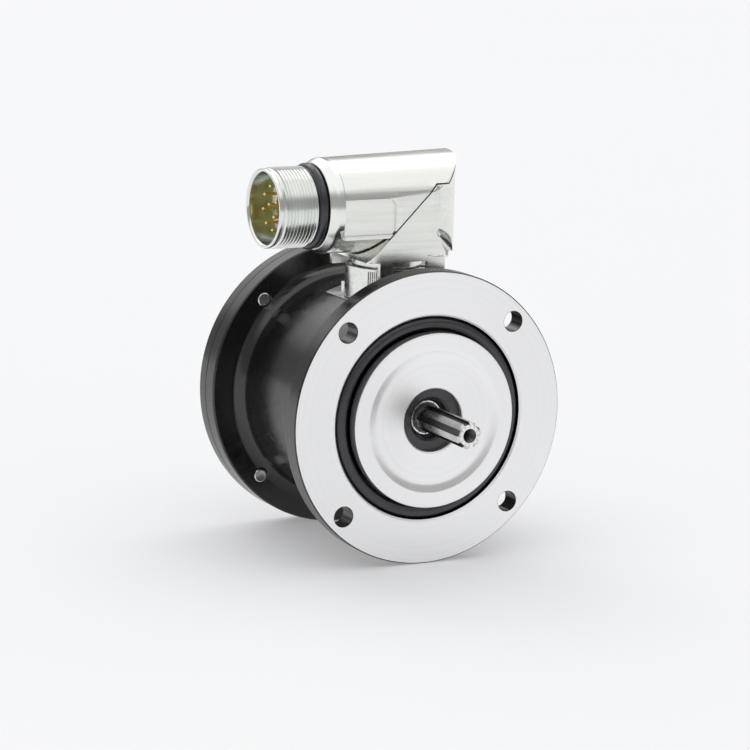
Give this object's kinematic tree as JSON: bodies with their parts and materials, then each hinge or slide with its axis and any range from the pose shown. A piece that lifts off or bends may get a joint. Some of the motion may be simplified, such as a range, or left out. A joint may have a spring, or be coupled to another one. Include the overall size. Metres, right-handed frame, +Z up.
{
  "type": "rotary encoder",
  "caption": "Flanged rotary encoder with a splined stub shaft, a sealed spigot and a swivelling angled round connector on top.",
  "frame": {"origin": "on the shaft's axis, in the plane of the flange's mounting face", "axes": "-Y out of the mounting face along the shaft, +Z up to the connector, -X the way the connector's socket points at rest"},
  "size_m": [0.084, 0.0876, 0.114],
  "materials": {
    "anodised_housing": "black anodised, with the flange's front, the spigot and the seal seat turned bright",
    "shaft_steel": "ground and milled",
    "bearing_steel": "polished",
    "brass": "turned",
    "seal_rubber": "matt black",
    "spring_steel": "bright",
    "screw_steel": "zinc plated",
    "hub_aluminium": "turned",
    "code_glass": "clear",
    "black_plastic": "moulded",
    "circuit_board": "solder resist",
    "pale_plastic": "moulded",
    "wire_sleeve": "matt",
    "nickel_casting": "nickel plated, satin",
    "insert_plastic": "moulded",
    "gold_contacts": "gold plated"
  },
  "bodies": {
    "stator": {"housing": "anodised_housing", "flange_o_ring": "seal_rubber", "seal_body": "seal_rubber", "seal_case": "spring_steel", "garter_spring": "spring_steel", "front_outer_race": "bearing_steel", "rear_outer_race": "bearing_steel", "outer_spacer": "bearing_steel", "wave_spring": "spring_steel", "housing_circlip": "spring_steel", "led_holder": "black_plastic", "led_lamp": "code_glass", "led_holder_screws": "screw_steel", "scanning_mask": "code_glass", "sensor_chip": "black_plastic", "sensor_board": "circuit_board", "lower_standoffs": "brass", "main_board": "circuit_board", "upper_standoffs": "brass", "board_screws": "screw_steel", "board_chips": "black_plastic", "board_plug": "pale_plastic", "wire_loom": "wire_sleeve", "rear_cover": "anodised_housing", "cover_seal": "seal_rubber", "cover_screws": "screw_steel", "swivel_base": "nickel_casting", "base_gasket": "seal_rubber", "base_screws": "screw_steel"},
    "rotor": {"shaft": "shaft_steel", "front_inner_race": "bearing_steel", "rear_inner_race": "bearing_steel", "inner_spacer": "bearing_steel", "shaft_circlip": "spring_steel", "disc_hub": "hub_aluminium", "hub_grub_screws": "screw_steel", "code_disc": "code_glass", "disc_clamp_ring": "hub_aluminium", "disc_screws": "screw_steel"},
    "front_ball_set": {"front_balls": "bearing_steel", "front_cage": "brass"},
    "rear_ball_set": {"rear_balls": "bearing_steel", "rear_cage": "brass"},
    "connector": {"swivel_circlip": "spring_steel", "elbow_lower": "nickel_casting", "elbow_hood": "nickel_casting", "elbow_gasket": "seal_rubber", "elbow_screws": "screw_steel", "elbow_wires": "wire_sleeve", "connector_barrel": "nickel_casting", "barrel_o_ring": "seal_rubber", "contact_insert": "insert_plastic", "contact_pins": "gold_contacts", "insert_circlip": "spring_steel", "swivel_seal": "seal_rubber"}
  },
  "joints": [
    {"name": "shaft_spin", "type": "hinge", "parent": "stator", "child": "rotor", "pos_m": [0, 0, 0], "axis": [0, 1, 0], "continuous": true},
    {"name": "front_cage_spin", "type": "hinge", "parent": "stator", "child": "front_ball_set", "pos_m": [0, 0, 0], "axis": [0, 1, 0], "continuous": true},
    {"name": "rear_cage_spin", "type": "hinge", "parent": "stator", "child": "rear_ball_set", "pos_m": [0, 0, 0], "axis": [0, 1, 0], "continuous": true},
    {"name": "connector_swivel", "type": "hinge", "parent": "stator", "child": "connector", "pos_m": [0, 0.028, 0.042], "axis": [0, 0, 1], "range_deg": [-150, 150]}
  ],
  "couplings": [
    {"joint": "front_cage_spin", "follows": "shaft_spin", "ratio": 0.3667},
    {"joint": "rear_cage_spin", "follows": "shaft_spin", "ratio": 0.3667}
  ]
}
